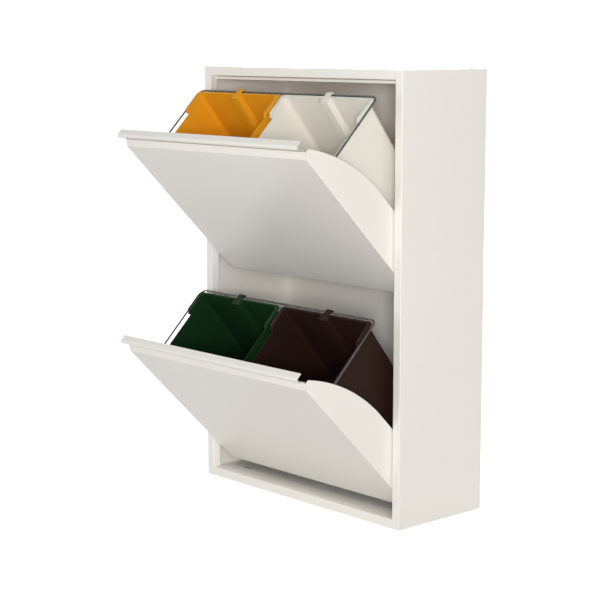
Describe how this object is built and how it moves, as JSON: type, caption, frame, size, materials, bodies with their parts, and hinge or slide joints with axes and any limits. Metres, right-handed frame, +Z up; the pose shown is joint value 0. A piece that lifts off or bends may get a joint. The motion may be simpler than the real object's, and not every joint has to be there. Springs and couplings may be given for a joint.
{
  "type": "recycling cabinet",
  "caption": "Shallow white steel cabinet whose two tilt-out flaps, one above the other, each carry lift-out plastic waste bins hung side by side in a wire hoop.",
  "frame": {"origin": "middle of the case's footprint on the ground: halfway across, halfway between its front and its back, on the underside of the floor channel", "axes": "+X to the cabinet's right as seen from the front, +Y towards its back (the front face is at -Y), +Z up"},
  "size_m": [0.62, 0.5119, 0.94],
  "materials": {
    "enamel": "smooth satin white enamel",
    "zinc": "bright zinc plate",
    "nylon": "natural white",
    "rubber": "black matt",
    "yellow_plastic": "fine-grained yellow",
    "white_plastic": "fine-grained cream white",
    "green_plastic": "fine-grained dark green",
    "brown_plastic": "fine-grained dark brown"
  },
  "bodies": {
    "case": {"left_side_panel": "enamel", "right_side_panel": "enamel", "top_panel": "enamel", "floor_panel": "enamel", "floor_channel": "enamel", "back_panel": "enamel", "back_panel_rivets": "zinc", "upper_bushes": "nylon", "lower_bushes": "nylon", "wall_studs": "zinc", "upper_wall_buffers": "rubber", "lower_wall_buffers": "rubber"},
    "upper_flap": {"upper_front": "enamel", "upper_left_cheek": "enamel", "upper_right_cheek": "enamel", "upper_stiffener": "enamel", "upper_hoop": "zinc", "upper_hoop_brackets": "zinc", "upper_pivot_pins": "zinc", "upper_pin_clips": "zinc", "upper_stop_studs": "zinc", "upper_stop_sleeves": "rubber"},
    "lower_flap": {"lower_front": "enamel", "lower_left_cheek": "enamel", "lower_right_cheek": "enamel", "lower_stiffener": "enamel", "lower_hoop": "zinc", "lower_hoop_brackets": "zinc", "lower_pivot_pins": "zinc", "lower_pin_clips": "zinc", "lower_stop_studs": "zinc", "lower_stop_sleeves": "rubber"},
    "yellow_bin": {"yellow_bin": "yellow_plastic"},
    "white_bin": {"white_bin": "white_plastic"},
    "green_bin": {"green_bin": "green_plastic"},
    "brown_bin": {"brown_bin": "brown_plastic"}
  },
  "joints": [
    {"name": "upper_flap_hinge", "type": "hinge", "parent": "case", "child": "upper_flap", "pos_m": [0, -0.112, 0.5415], "axis": [1, 0, 0], "range_deg": [-45, 0]},
    {"name": "lower_flap_hinge", "type": "hinge", "parent": "case", "child": "lower_flap", "pos_m": [0, -0.112, 0.093], "axis": [1, 0, 0], "range_deg": [-45, 0]},
    {"name": "yellow_bin_lift", "type": "slide", "parent": "upper_flap", "child": "yellow_bin", "axis": [0, -0.7071, 0.7071], "range_m": [0, 0.36]},
    {"name": "white_bin_lift", "type": "slide", "parent": "upper_flap", "child": "white_bin", "axis": [0, -0.7071, 0.7071], "range_m": [0, 0.36]},
    {"name": "green_bin_lift", "type": "slide", "parent": "lower_flap", "child": "green_bin", "axis": [0, -0.7071, 0.7071], "range_m": [0, 0.36]},
    {"name": "brown_bin_lift", "type": "slide", "parent": "lower_flap", "child": "brown_bin", "axis": [0, -0.7071, 0.7071], "range_m": [0, 0.36]}
  ]
}
